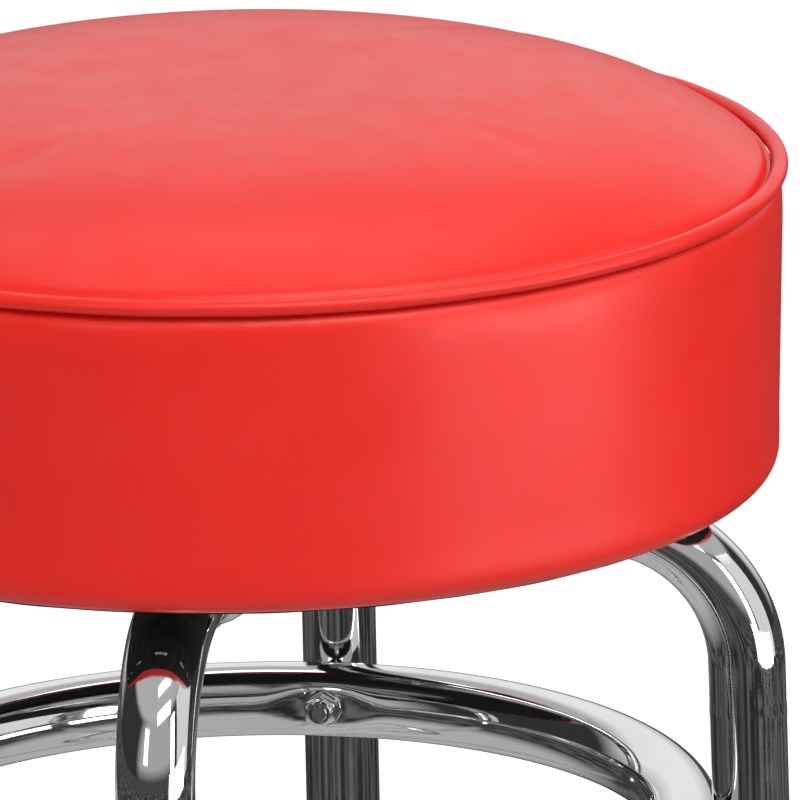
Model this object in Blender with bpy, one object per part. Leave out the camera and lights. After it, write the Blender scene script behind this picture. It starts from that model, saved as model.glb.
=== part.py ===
"""Round swivel bar stool on a chromed frame of two crossed tube hoops and two footrings.

Metres, +Z up. The origin is on the floor, on the seat's turning axis. The legs stand on the
X and Y axes: the upper hoop's legs on X, the lower hoop's on Y.
"""
import bmesh
import bpy
from math import cos, hypot, pi, radians, sin, tan
from mathutils import Matrix, Vector

for leftover in list(bpy.data.objects):
    bpy.data.objects.remove(leftover, do_unlink=True)

# ---- driving dimensions ----
GAP = 0.0003             # left between pieces that touch
SEAT_TOP_Z = 0.787       # top of the crown
CROWN_HEIGHT = 0.030     # crown above the welt
BAND_HEIGHT = 0.1025     # welt above the seat's bottom edge
SEAT_RADIUS = 0.1755     # side band just above its rounded bottom edge
SEAT_BULGE = 0.0020      # side band's swell just under the welt
WELT_RADIUS = 0.0028
SKIN = 0.0012            # vinyl
BOARD_THICKNESS = 0.015
BOARD_RADIUS = 0.170

TUBE_RADIUS = 0.0127     # 25.4 mm tube
TUBE_WALL = 0.0015
FOOT_RADIUS = 0.176      # leg axis at the floor
SPLAY = radians(1.0)
BEND_RADIUS = 0.048      # of the tube's centre line
TUBE_END_Z = 0.0143      # lower end of each leg
PRESSED_HALF = 0.090     # hoop tops are pressed flat out to here
ROUND_HALF = 0.104       # and fully round again from here
RING_UPPER_Z = 0.532
RING_LOWER_Z = 0.230
RING_NEST = 0.0011       # how far the leg beds into the ring's outer side
RING_DIMPLE = 0.0015     # depth of the flat pressed under each ring bolt's head

PLATE_HALF = 0.0635      # half the side of each swivel plate
PLATE_THICKNESS = 0.0025
SCREW_CIRCLE = 0.072     # radius of both bolt circles of the swivel
BALL_RADIUS = 0.003175
RACE_RADIUS = 0.040
M6 = 0.0030              # screw radius
M6_HOLE = 0.0034
M8 = 0.0040
HUB_RADIUS = 0.0080

LEG_ANGLES = [radians(a) for a in (0, 90, 180, 270)]

# ---- levels that follow from them ----
WELT_Z = SEAT_TOP_Z - CROWN_HEIGHT
SEAT_BOTTOM_Z = WELT_Z - BAND_HEIGHT
BOARD_Z = SEAT_BOTTOM_Z + SKIN + GAP
BOARD_TOP_Z = BOARD_Z + BOARD_THICKNESS
TUBE_MID_Z = SEAT_BOTTOM_Z - 0.014      # centre line of the hoops' tops
BASE_PLATE_Z = TUBE_MID_Z + GAP
TOP_PLATE_Z = BOARD_Z - GAP - PLATE_THICKNESS
BASE_DISH = 0.0026                      # base plate's middle stands up
TOP_DISH = -0.0013                      # top plate's middle hangs down
GROOVE = 0.0006
BASE_FACE_Z = BASE_PLATE_Z + PLATE_THICKNESS
RACE_Z = (BASE_FACE_Z + BASE_DISH + TOP_PLATE_Z + TOP_DISH) / 2


def material(name, colour, roughness, metallic=0.0):
    mat = bpy.data.materials.new(name)
    mat.use_nodes = True
    bsdf = mat.node_tree.nodes["Principled BSDF"]
    bsdf.inputs["Base Color"].default_value = (*colour, 1.0)
    bsdf.inputs["Roughness"].default_value = roughness
    bsdf.inputs["Metallic"].default_value = metallic
    return mat


def add(name, bm, mat, place=None, parent=None):
    """Make the mesh an object, shaded smooth with its sharp edges kept."""
    mesh = bpy.data.meshes.new(name)
    bm.to_mesh(mesh)
    bm.free()
    mesh.shade_smooth()
    mesh.set_sharp_from_angle(angle=radians(35))
    mesh.materials.append(mat)
    obj = bpy.data.objects.new(name, mesh)
    bpy.context.collection.objects.link(obj)
    obj.matrix_world = place or Matrix()
    if parent:
        obj.parent = parent
        obj.matrix_parent_inverse = parent.matrix_world.inverted()
    return obj


def axis_empty(name, place):
    empty = bpy.data.objects.new(name, None)
    empty.empty_display_size = 0.03
    bpy.context.collection.objects.link(empty)
    empty.matrix_world = place
    bpy.context.view_layer.update()
    return empty


def turned(profile, sides):
    """Spin a closed (radius, height) outline once round Z."""
    bm = bmesh.new()
    verts = [bm.verts.new((r, 0, z)) for r, z in profile]
    edges = [bm.edges.new((verts[i - 1], verts[i])) for i in range(len(verts))]
    bmesh.ops.spin(bm, geom=verts + edges, cent=(0, 0, 0), axis=(0, 0, 1),
                   angle=2 * pi, steps=sides, use_merge=True)
    bmesh.ops.remove_doubles(bm, verts=bm.verts, dist=1e-6)
    flat = [e for e in bm.edges if not e.link_faces]
    bmesh.ops.delete(bm, geom=flat, context="EDGES")
    bmesh.ops.recalc_face_normals(bm, faces=bm.faces)
    return bm


def drilled(obj, holes):
    """Cut round holes, each given as (start, end, radius), with one hidden cutter."""
    bm = bmesh.new()
    for start, end, radius in holes:
        along = Vector(end) - Vector(start)
        turn = along.to_track_quat("Z", "Y").to_matrix().to_4x4()
        middle = Matrix.Translation((Vector(start) + Vector(end)) / 2)
        bmesh.ops.create_cone(bm, cap_ends=True, segments=10, radius1=radius, radius2=radius,
                              depth=along.length, matrix=middle @ turn)
    cutter = add(obj.name + "_cutter", bm, obj.data.materials[0])
    cutter.hide_render = True
    cutter.display_type = "WIRE"
    cut = obj.modifiers.new("holes", "BOOLEAN")
    cut.operation = "DIFFERENCE"
    cut.object = cutter


# ---- finishes ----
VINYL = material("red_vinyl", (0.78, 0.022, 0.018), 0.32)
FOAM = material("foam", (0.85, 0.78, 0.60), 0.95)
PLYWOOD = material("plywood", (0.060, 0.046, 0.036), 0.70)
CHROME = material("chrome", (0.86, 0.87, 0.88), 0.06, 1.0)
ZINC = material("zinc_steel", (0.62, 0.62, 0.60), 0.35, 1.0)
PLASTIC = material("black_plastic", (0.02, 0.02, 0.02), 0.50)


# ---- frame: hoops ----
def leg_radius(z):
    """Distance of a leg's axis from the stool's axis at height z."""
    return FOOT_RADIUS - z * tan(SPLAY)


def flattened(half_width, low, high, sides=12):
    """Outline of a tube pressed between two heights: round where they are its diameter."""
    half = (high - low) / 2
    reach = half / cos(pi / sides)
    points = []
    for k in range(sides):
        angle = pi / sides + 2 * pi * k / sides
        side = 1 if cos(angle) > 0 else -1
        points.append((side * (half_width - half) + reach * cos(angle),
                       (low + high) / 2 + reach * sin(angle)))
    return points


def pressed_width(thickness):
    """Half the width of the tube once pressed to this thickness: its girth stays the same."""
    return (thickness + (2 * pi * TUBE_RADIUS - pi * thickness) / 2) / 2


def hoop_half(laps_over):
    """Stations of half a hoop, foot to middle: (distance out, height, lean, low, high)."""
    r = TUBE_RADIUS
    bend_z = TUBE_MID_Z - BEND_RADIUS
    bend_x = leg_radius(bend_z + BEND_RADIUS * sin(SPLAY)) - BEND_RADIUS * cos(SPLAY)
    stations = [(leg_radius(TUBE_END_Z), TUBE_END_Z, SPLAY, -r, r)]
    steps = 8
    for k in range(steps + 1):
        lean = SPLAY + (pi / 2 - SPLAY) * k / steps
        stations.append((bend_x + BEND_RADIUS * cos(lean), bend_z + BEND_RADIUS * sin(lean),
                         lean, -r, r))
    over, under = -r / 2 + GAP / 2, -r / 2 - GAP / 2
    lap = (over, 0.0) if laps_over else (-r, under)
    tops = [(ROUND_HALF, -r, r), ((ROUND_HALF + PRESSED_HALF) / 2, -r, r / 2),
            (PRESSED_HALF, -r, 0.0), (0.032, -r, 0.0), (0.0215, *lap)]
    stations += [(x, TUBE_MID_Z, pi / 2, low, high) for x, low, high in tops]
    return stations


def hoop(name, laps_over, heading):
    """One bent tube: two legs, two bends and a top pressed flat, hollow and open at its feet."""
    half = hoop_half(laps_over)
    stations = [(1, *s) for s in half] + [(-1, *s) for s in reversed(half)]
    bm = bmesh.new()
    skins = []
    for wall in (0.0, TUBE_WALL):
        loops = []
        for side, x, z, lean, low, high in stations:
            width = pressed_width(high - low) - wall
            outward = Vector((side * cos(lean), 0, sin(lean)))
            centre = Vector((side * x, 0, z))
            loops.append([bm.verts.new(centre + Vector((0, a, 0)) + outward * b)
                          for a, b in flattened(width, low + wall, high - wall)])
        skins.append(loops)
    count = len(skins[0][0])
    for wall, loops in enumerate(skins):
        for one, two in zip(loops, loops[1:]):
            for k in range(count):
                quad = [one[k - 1], one[k], two[k], two[k - 1]]
                bm.faces.new(quad[::-1] if wall else quad)
    for end, flip in ((0, True), (-1, False)):
        outer, inner = skins[0][end], skins[1][end]
        for k in range(count):
            quad = [outer[k - 1], outer[k], inner[k], inner[k - 1]]
            bm.faces.new(quad[::-1] if flip else quad)
    if bm.calc_volume(signed=True) < 0:
        bmesh.ops.reverse_faces(bm, faces=bm.faces)
    bmesh.ops.rotate(bm, verts=bm.verts, cent=(0, 0, 0), matrix=Matrix.Rotation(heading, 3, "Z"))
    obj = add(name, bm, CHROME)
    holes = []
    for side in (heading, heading + pi):
        out = Vector((cos(side), sin(side), 0))
        top = out * SCREW_CIRCLE + Vector((0, 0, TUBE_MID_Z))
        holes.append((top + Vector((0, 0, 0.005)), top - Vector((0, 0, 0.020)), M6_HOLE))
        for z in (RING_UPPER_Z, RING_LOWER_Z):
            axis = out * leg_radius(z) + Vector((0, 0, z))
            holes.append((axis - out * 0.017, axis + out * 0.017, M6_HOLE))
    drilled(obj, holes)


hoop("frame_hoop_upper", True, 0.0)
hoop("frame_hoop_lower", False, pi / 2)


# ---- frame: footrings ----
def ring_angles():
    """Angles of the ring's stations, close together at the legs where it is pressed in."""
    offsets = [-45, -30, -18, -11, -7, -3.5, 0, 3.5, 7, 11, 18, 30]
    return [leg + radians(offset) for leg in LEG_ANGLES for offset in offsets]


def ring(name, z):
    """A tube bent to a closed circle, saddled round each leg and dimpled under each bolt."""
    radius = leg_radius(z) - 2 * TUBE_RADIUS + RING_NEST
    sides = 8
    bm = bmesh.new()
    for wall in (0.0, TUBE_WALL):
        loops = []
        for angle in ring_angles():
            leg = min(LEG_ANGLES + [2 * pi], key=lambda a: abs(a - angle % (2 * pi)))
            off = radius * abs(leg - angle % (2 * pi))
            fade = max(0.0, min(1.0, (0.020 - off) / 0.012))
            press = RING_DIMPLE * fade * fade * (3 - 2 * fade)
            axis = Vector((cos(leg), sin(leg))) * leg_radius(z)
            clear = TUBE_RADIUS / cos(pi / 12) + 2 * GAP + wall
            loop = []
            for k in range(sides):
                turn = pi / sides + 2 * pi * k / sides
                reach = (TUBE_RADIUS - wall) / cos(pi / sides)
                out = max(reach * cos(turn), press - TUBE_RADIUS + wall)
                spot = Vector((cos(angle), sin(angle))) * (radius + out)
                gap = spot - axis
                if gap.length < clear:
                    spot = axis + gap.normalized() * clear
                loop.append(bm.verts.new((spot.x, spot.y, z + reach * sin(turn))))
            loops.append(loop)
        for i, two in enumerate(loops):
            one = loops[i - 1]
            for k in range(sides):
                quad = [one[k - 1], two[k - 1], two[k], one[k]]
                bm.faces.new(quad[::-1] if wall else quad)
    if bm.calc_volume(signed=True) < 0:
        bmesh.ops.reverse_faces(bm, faces=bm.faces)
    obj = add(name, bm, CHROME)
    holes = []
    for leg in LEG_ANGLES:
        out = Vector((cos(leg), sin(leg), 0))
        start = out * (radius - 0.016) + Vector((0, 0, z))
        holes.append((start, start + out * 0.032, M6_HOLE))
    drilled(obj, holes)
    return radius


# ---- fasteners ----
def screw(head_radius, head_height, length, socket=0.0):
    """A screw along +Z: its head's bearing face at z = 0, its head below, its shank above."""
    bm = turned([(0, -head_height), (head_radius * 0.8, -head_height),
                 (head_radius, -head_height * 0.6), (head_radius, 0), (M6, 0),
                 (M6, length), (0, length)], 12)
    if socket:
        low = [f for f in bm.faces if f.calc_center_median().z < -head_height + 1e-5]
        bmesh.ops.inset_region(bm, faces=low, thickness=head_radius * 0.8 - socket)
        middle = [f for f in bm.faces if f.calc_center_median().z < -head_height + 1e-5
                  and all(hypot(v.co.x, v.co.y) < socket + 1e-5 for v in f.verts)]
        dug = bmesh.ops.extrude_face_region(bm, geom=middle)
        moved = [v for v in dug["geom"] if isinstance(v, bmesh.types.BMVert)]
        bmesh.ops.translate(bm, verts=moved, vec=(0, 0, head_height * 0.6))
        bmesh.ops.delete(bm, geom=middle, context="FACES")
        bmesh.ops.recalc_face_normals(bm, faces=bm.faces)
    return bm


def nut(flats, height):
    """A hexagon nut standing on z = 0 with a clearance bore."""
    bm = bmesh.new()
    outer = []
    inner = []
    for z in (0.0, height):
        for ring_of, radius, sides in ((outer, flats / 2 / cos(pi / 6), 6),
                                       (inner, (M6 + GAP) / cos(pi / 6), 6)):
            ring_of.append([bm.verts.new((radius * cos(2 * pi * k / sides),
                                          radius * sin(2 * pi * k / sides), z))
                            for k in range(sides)])
    for k in range(6):
        bm.faces.new([outer[0][k - 1], outer[0][k], outer[1][k], outer[1][k - 1]])
        bm.faces.new([inner[0][k], inner[0][k - 1], inner[1][k - 1], inner[1][k]])
        bm.faces.new([outer[0][k], outer[0][k - 1], inner[0][k - 1], inner[0][k]])
        bm.faces.new([outer[1][k - 1], outer[1][k], inner[1][k], inner[1][k - 1]])
    return bm


def standing(point, direction):
    """Matrix that puts z = 0 at the point and +Z along the direction."""
    turn = Vector(direction).to_track_quat("Z", "Y").to_matrix().to_4x4()
    return Matrix.Translation(point) @ turn


BOLT_END = 0.009         # how far a ring bolt's end stands out of the ring
for level, ring_z in (("upper", RING_UPPER_Z), ("lower", RING_LOWER_Z)):
    ring_radius = ring("ring_" + level, ring_z)
    head_face = leg_radius(ring_z) + TUBE_RADIUS + GAP
    nut_face = ring_radius - TUBE_RADIUS + RING_DIMPLE - GAP
    for number, leg in enumerate(LEG_ANGLES, 1):
        out = Vector((cos(leg), sin(leg), 0))
        up = Vector((0, 0, ring_z))
        reach = head_face - nut_face + BOLT_END
        add(f"ring_{level}_bolt_{number}", screw(0.006, 0.0033, reach, socket=0.0020), CHROME,
            standing(out * head_face + up, -out))
        add(f"ring_{level}_nut_{number}", nut(0.010, 0.005), ZINC,
            standing(out * nut_face + up, -out))

for number, leg in enumerate(LEG_ANGLES, 1):
    spot = Vector((cos(leg), sin(leg), 0)) * SCREW_CIRCLE
    top = BASE_FACE_Z + GAP
    under = TUBE_MID_Z - TUBE_RADIUS - GAP
    add(f"hoop_bolt_{number}", screw(0.0065, 0.0031, top - under + 0.0062), ZINC,
        standing(spot + Vector((0, 0, top)), (0, 0, -1)))
    add(f"hoop_nut_{number}", nut(0.010, 0.005), ZINC,
        standing(spot + Vector((0, 0, under)), (0, 0, -1)))


# ---- swivel ----
swivel_axis = axis_empty("seat_swivel_axis", Matrix.Translation((0, 0, RACE_Z)))


def swivel_plate(name, z, dish, groove, turn, parent=None):
    """A square pressed plate: dished middle, ball groove, centre bore and four corner holes."""
    sides = 24
    slope = 0.004 if dish > 0 else -0.004
    levels = [(None, 0.0), (0.056, 0.0), (0.056 - abs(slope), dish),
              (RACE_RADIUS + 0.003, dish), (RACE_RADIUS, dish + groove),
              (RACE_RADIUS - 0.003, dish), (HUB_RADIUS + GAP, dish)]
    bm = bmesh.new()
    faces = []
    for lift in (0.0, PLATE_THICKNESS):
        loops = []
        for radius, height in levels:
            loop = []
            for k in range(sides):
                angle = 2 * pi * k / sides
                square = (abs(cos(angle)) ** 10 + abs(sin(angle)) ** 10) ** -0.1
                r = radius or PLATE_HALF * square
                loop.append(bm.verts.new((r * cos(angle + turn), r * sin(angle + turn),
                                          z + lift + height)))
            loops.append(loop)
        faces.append(loops)
    bottom, top = faces
    for one, two in zip(top, top[1:]):
        for k in range(sides):
            bm.faces.new([one[k - 1], one[k], two[k], two[k - 1]])
    for one, two in zip(bottom, bottom[1:]):
        for k in range(sides):
            bm.faces.new([one[k], one[k - 1], two[k - 1], two[k]])
    for k in range(sides):
        bm.faces.new([bottom[0][k - 1], bottom[0][k], top[0][k], top[0][k - 1]])
        bm.faces.new([bottom[-1][k], bottom[-1][k - 1], top[-1][k - 1], top[-1][k]])
    obj = add(name, bm, ZINC, parent=parent)
    holes = []
    for k in range(4):
        angle = turn + pi / 4 + k * pi / 2
        spot = Vector((cos(angle), sin(angle), 0)) * SCREW_CIRCLE
        holes.append((spot + Vector((0, 0, z - 0.003)), spot + Vector((0, 0, z + 0.006)),
                      M6_HOLE))
    drilled(obj, holes)


swivel_plate("swivel_base_plate", BASE_PLATE_Z, BASE_DISH, -GROOVE, pi / 4)
swivel_plate("swivel_top_plate", TOP_PLATE_Z, TOP_DISH, GROOVE, 0.0, parent=swivel_axis)

# the cage and its balls are one solid
cage = turned([(0.033, RACE_Z - 0.0006), (0.047, RACE_Z - 0.0006), (0.047, RACE_Z + 0.0006),
               (0.033, RACE_Z + 0.0006)], 24)
race = add("swivel_ball_race", cage, ZINC, parent=swivel_axis)
balls = bmesh.new()
BALLS = 8
for k in range(BALLS):
    angle = 2 * pi * (k + 0.5) / BALLS
    place = Matrix.Translation((RACE_RADIUS * cos(angle), RACE_RADIUS * sin(angle), RACE_Z))
    bmesh.ops.create_uvsphere(balls, u_segments=6, v_segments=4, radius=BALL_RADIUS, matrix=place)
ball_set = add("swivel_ball_set", balls, ZINC)
ball_set.hide_render = True
ball_set.display_type = "WIRE"
join = race.modifiers.new("balls", "BOOLEAN")
join.operation = "UNION"
join.object = ball_set

hub_top = TOP_PLATE_Z + PLATE_THICKNESS + TOP_DISH + GAP
hub_foot = TUBE_MID_Z + GAP
washer_z = BASE_PLATE_Z + BASE_DISH - GAP - 0.0010
add("swivel_hub", turned([(0.005, hub_foot), (0.0105, hub_foot), (0.0105, washer_z - GAP),
                          (HUB_RADIUS, washer_z - GAP), (HUB_RADIUS, hub_top),
                          (0.0130, hub_top), (0.0130, hub_top + 0.0009),
                          (0.005, hub_top + 0.0009)], 16), ZINC)
add("swivel_hub_washer", turned([(HUB_RADIUS + GAP, washer_z), (0.0130, washer_z),
                                 (0.0130, washer_z + 0.0010),
                                 (HUB_RADIUS + GAP, washer_z + 0.0010)], 16), ZINC)

# ---- seat ----
SEAT_SIDES = 36
HEM_INNER_RADIUS = 0.148
BOTTOM_ROUND = 0.008


def crown(r, edge, rise):
    """Height of the domed top above its rim at radius r."""
    return rise * (1 - (r / edge) ** 4.6)


edge_round = 0.008
board_profile = [(0, BOARD_Z), (BOARD_RADIUS - edge_round, BOARD_Z)]
for k in range(1, 4):
    a = pi / 6 * k
    board_profile.append((BOARD_RADIUS - edge_round + edge_round * sin(a),
                          BOARD_Z + edge_round - edge_round * cos(a)))
board_profile += [(BOARD_RADIUS, BOARD_TOP_Z), (0, BOARD_TOP_Z)]
board = add("seat_board", turned(board_profile, SEAT_SIDES), PLYWOOD, parent=swivel_axis)

T_NUT_FLANGE = 0.0095
T_NUT_BARREL = 0.0042
flange_pockets = []
barrel_holes = []
for number, leg in enumerate(LEG_ANGLES, 1):
    angle = leg + pi / 4
    spot = Vector((cos(angle), sin(angle), 0)) * SCREW_CIRCLE
    flange_z = BOARD_TOP_Z - 0.0018
    flange_pockets.append((spot + Vector((0, 0, flange_z - GAP)),
                           spot + Vector((0, 0, BOARD_TOP_Z + 0.002)), T_NUT_FLANGE + 2 * GAP))
    barrel_holes.append((spot + Vector((0, 0, BOARD_Z - 0.002)),
                         spot + Vector((0, 0, BOARD_TOP_Z + 0.002)), T_NUT_BARREL + 2 * GAP))
    add(f"seat_t_nut_{number}",
        turned([(M6 + GAP, -0.009), (T_NUT_BARREL, -0.009), (T_NUT_BARREL, 0),
                (T_NUT_FLANGE, 0), (T_NUT_FLANGE, 0.0015), (M6 + GAP, 0.0015)], 10), ZINC,
        Matrix.Translation(spot + Vector((0, 0, flange_z))), swivel_axis)
    add(f"seat_screw_{number}", screw(0.0060, 0.0032, 0.0165), ZINC,
        Matrix.Translation(spot + Vector((0, 0, TOP_PLATE_Z - GAP))), swivel_axis)
drilled(board, barrel_holes)
drilled(board, flange_pockets)


def band_outline(inset):
    """Side band from its hem under the board up to the welt, moved in by the inset."""
    top = SEAT_BOTTOM_Z + BAND_HEIGHT - WELT_RADIUS - GAP
    corner_r = SEAT_RADIUS - BOTTOM_ROUND
    round_r = BOTTOM_ROUND - inset
    points = [(HEM_INNER_RADIUS, SEAT_BOTTOM_Z + inset)]
    for k in range(4):
        a = pi / 6 * k
        points.append((corner_r + round_r * sin(a),
                       SEAT_BOTTOM_Z + BOTTOM_ROUND - round_r * cos(a)))
    points += [(SEAT_RADIUS + SEAT_BULGE * 0.6 - inset, SEAT_BOTTOM_Z + 0.050),
               (SEAT_RADIUS + SEAT_BULGE - inset, SEAT_BOTTOM_Z + 0.084),
               (SEAT_RADIUS - 0.0002 - inset, top)]
    return points


WELT_CENTRE = SEAT_RADIUS + 0.0008
PANEL_RIM = WELT_CENTRE - WELT_RADIUS - GAP
band_profile = band_outline(0.0) + band_outline(SKIN)[::-1]
add("seat_side_band", turned(band_profile, SEAT_SIDES), VINYL, parent=swivel_axis)
welt_profile = [(WELT_CENTRE + WELT_RADIUS * cos(pi / 4 * k), WELT_Z + WELT_RADIUS * sin(pi / 4 * k))
                for k in range(8)]
add("seat_welt", turned(welt_profile, SEAT_SIDES), VINYL, parent=swivel_axis)

radii = [PANEL_RIM * f for f in (0.0, 0.42, 0.66, 0.82, 0.92, 0.97, 1.0)]
panel_profile = [(r, WELT_Z + crown(r, PANEL_RIM, CROWN_HEIGHT)) for r in radii]
panel_profile += [(max(r - SKIN * (r / PANEL_RIM) ** 4, 0),
                   WELT_Z - SKIN + crown(r, PANEL_RIM, CROWN_HEIGHT)) for r in radii[::-1]]
add("seat_top_panel", turned(panel_profile, SEAT_SIDES), VINYL, parent=swivel_axis)

foam_edge = PANEL_RIM - SKIN - 2 * GAP
foam_profile = [(0, BOARD_TOP_Z + GAP), (foam_edge, BOARD_TOP_Z + GAP), (foam_edge, WELT_Z - 0.006)]
foam_profile += [(r * foam_edge / PANEL_RIM,
                  WELT_Z - SKIN - 3 * GAP + crown(r, PANEL_RIM, CROWN_HEIGHT) - 0.0006)
                 for r in radii[::-1]]
add("seat_foam", turned(foam_profile, SEAT_SIDES), FOAM, parent=swivel_axis)

# ---- levelling glides ----
for number, leg in enumerate(LEG_ANGLES, 1):
    out = Vector((cos(leg), sin(leg), 0))
    down = out * sin(SPLAY) - Vector((0, 0, cos(SPLAY)))
    end = out * leg_radius(TUBE_END_Z) + Vector((0, 0, TUBE_END_Z))
    place = standing(end, -down)
    glide_axis = axis_empty(f"glide_axis_{number}", place)
    bore = M8 + GAP
    plug = TUBE_RADIUS - TUBE_WALL - GAP
    add(f"glide_insert_{number}",
        turned([(bore, -0.0028), (TUBE_RADIUS, -0.0028), (TUBE_RADIUS, -GAP), (plug, -GAP),
                (plug, 0.022), (bore, 0.022)], 12), PLASTIC, place)
    add(f"glide_stem_{number}",
        turned([(0, -0.0112), (M8, -0.0112), (M8, -0.0066), (0.0075, -0.0066),
                (0.0075, -0.0032), (M8, -0.0032), (M8, 0.020), (0, 0.020)], 12), ZINC,
        place, glide_axis)
    foot_top = TUBE_END_Z - 0.0072
    socket = M8 + 2 * GAP
    pad = turned([(0, 0), (0.0145, 0), (0.0155, 0.0012), (0.0150, 0.0035), (0.0105, foot_top),
                  (socket, foot_top), (socket, 0.0028), (0, 0.0028)], 16)
    pad_place = Matrix.Translation((end.x + down.x * 0.009, end.y + down.y * 0.009, 0))
    add(f"glide_foot_{number}", pad, PLASTIC, pad_place, glide_axis)
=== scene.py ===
"""Round swivel bar stool: the finished look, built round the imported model.

Metres, +Z up. The origin is on the floor, on the seat's turning axis, and the legs stand on the
X and Y axes: the upper hoop's legs on X, the lower hoop's on Y.
"""

from math import atan2, cos, exp, hypot, pi, radians, sin, sqrt, tan

import bmesh
import bpy
from mathutils import Matrix, Vector, noise


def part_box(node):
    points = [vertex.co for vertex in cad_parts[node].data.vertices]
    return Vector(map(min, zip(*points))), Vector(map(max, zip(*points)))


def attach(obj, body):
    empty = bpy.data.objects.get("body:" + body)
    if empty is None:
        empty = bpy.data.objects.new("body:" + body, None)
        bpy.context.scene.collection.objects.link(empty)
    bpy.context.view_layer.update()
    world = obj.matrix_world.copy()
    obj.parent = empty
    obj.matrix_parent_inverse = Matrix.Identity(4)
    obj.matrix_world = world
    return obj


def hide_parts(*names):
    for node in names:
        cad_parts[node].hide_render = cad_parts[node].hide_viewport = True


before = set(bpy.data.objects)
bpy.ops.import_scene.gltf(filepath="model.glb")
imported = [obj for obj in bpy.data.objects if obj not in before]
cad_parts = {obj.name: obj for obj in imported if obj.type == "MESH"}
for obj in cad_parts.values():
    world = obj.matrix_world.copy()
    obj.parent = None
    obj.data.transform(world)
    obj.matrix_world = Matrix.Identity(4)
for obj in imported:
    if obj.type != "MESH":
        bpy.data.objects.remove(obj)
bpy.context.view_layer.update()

# ---- frame: the two hoops ----
# Each hoop is one length of 25.4 mm steel tube, 1.5 mm thick in the wall, bent cold over a die
# into two legs and a top, then chromed. Its top is pressed flat where it carries the swivel, and
# pressed again where the two hoops lap at the middle. The bender leaves a faint ridge on each leg.
TUBE_RADIUS = 0.0127
TUBE_WALL = 0.0015
FOOT_RADIUS = 0.176          # leg axis at the floor
SPLAY = radians(1.0)
BEND_RADIUS = 0.048
BEND_FLATTENS = 0.12         # how much thinner the bend leaves the tube at its end
TUBE_END_Z = 0.0143
HOOP_TOP_Z = 0.6405          # axis of the hoops' tops before they are pressed
ROUND_FROM = 0.104           # the tube is fully round from here outwards
PRESSED_TO = 0.090           # and fully pressed from here inwards
LAP_FROM = 0.033             # the second press starts here
LAP_HALF = 0.0215            # and is complete from here inwards
LEG_HEADINGS = [radians(a) for a in (0, 90, 180, 270)]


def leg_axis(z):
    """Distance of a leg's axis from the stool's axis at this height."""
    return FOOT_RADIUS - z * tan(SPLAY)


def nothing_picked():
    for other in bpy.context.selected_objects:
        other.select_set(False)


def pick_pieces(*pieces):
    """Selects these pieces and no others, with the first as the active one."""
    nothing_picked()
    for piece in pieces:
        piece.select_set(True)
    bpy.context.view_layer.objects.active = pieces[0]


def open_piece(name):
    """Names the primitive just added, puts its place in its mesh and opens it for editing."""
    piece = bpy.context.object
    piece.name = piece.data.name = name
    bpy.ops.object.transform_apply(location=True, rotation=True, scale=True)
    bpy.ops.object.mode_set(mode="EDIT")
    return piece


def pick(test):
    """Selects the points of the open piece that pass the test, and what lies between them."""
    mesh = bpy.context.object.data
    edited = bmesh.from_edit_mesh(mesh)
    bpy.ops.mesh.select_all(action="DESELECT")
    for vert in edited.verts:
        if test(vert.co):
            vert.select = True
    edited.select_flush(True)
    bmesh.update_edit_mesh(mesh)


def draw_out(step):
    """Extrudes what is selected along a step."""
    bpy.ops.mesh.extrude_region_move(TRANSFORM_OT_translate={"value": tuple(step)})


def resize(scale, about):
    bpy.ops.transform.resize(value=tuple(scale), center_override=tuple(about))


def face_outwards():
    """Merges doubles and turns the open piece's faces outwards, then closes it."""
    bpy.ops.mesh.select_all(action="SELECT")
    bpy.ops.mesh.remove_doubles(threshold=0.000005)
    bpy.ops.mesh.normals_make_consistent(inside=False)
    bpy.ops.object.mode_set(mode="OBJECT")


def work(piece, kind, **settings):
    """Adds one modifier to the piece and applies it."""
    bpy.context.view_layer.objects.active = piece
    step = piece.modifiers.new(kind.lower(), kind)
    for setting, value in settings.items():
        setattr(step, setting, value)
    bpy.ops.object.modifier_apply(modifier=step.name)


def fit(piece, place, body, finish, slot, *stands_for, angle=35):
    """Puts the finished piece in its place, gives it its finish and lets it ride on its body."""
    pick_pieces(piece)
    piece.matrix_world = place
    bpy.ops.object.transform_apply(location=True, rotation=True, scale=True)
    bpy.ops.object.shade_smooth_by_angle(angle=radians(angle))
    piece.data.materials.clear()
    piece.data.materials.append(finish)
    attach(piece, body)
    if stands_for:
        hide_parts(*stands_for)
    piece.select_set(False)
    return piece


def new_finish(name, colour, roughness, metallic=0.0):
    """A material with its shader set, its nodes, and the piece's coordinates for patterns."""
    finish = bpy.data.materials.new(name)
    finish.use_nodes = True
    shader = finish.node_tree.nodes["Principled BSDF"]
    shader.inputs["Base Color"].default_value = (*colour, 1)
    shader.inputs["Roughness"].default_value = roughness
    shader.inputs["Metallic"].default_value = metallic
    place = put(finish.node_tree, "ShaderNodeTexCoord").outputs["Object"]
    return finish, finish.node_tree, shader, place


def put(tree, kind, sockets=None, **settings):
    """Adds a node with its settings. Each socket takes a number or another node's output."""
    made = tree.nodes.new(kind)
    for setting, value in settings.items():
        setattr(made, setting, value)
    for socket, value in (sockets or {}).items():
        if isinstance(value, bpy.types.NodeSocket):
            tree.links.new(value, made.inputs[socket])
        else:
            made.inputs[socket].default_value = value
    return made


def spread(tree, value, low, high, start=0.0, end=1.0):
    """Takes a value that runs from start to end over to the range from low to high."""
    made = put(tree, "ShaderNodeMapRange", {"Value": value, "From Min": start, "From Max": end,
                                            "To Min": low, "To Max": high})
    return made.outputs["Result"]


def noise_on(tree, place, scale, detail=2.0):
    made = put(tree, "ShaderNodeTexNoise", {"Vector": place, "Scale": scale, "Detail": detail})
    return made.outputs["Fac"]


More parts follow.
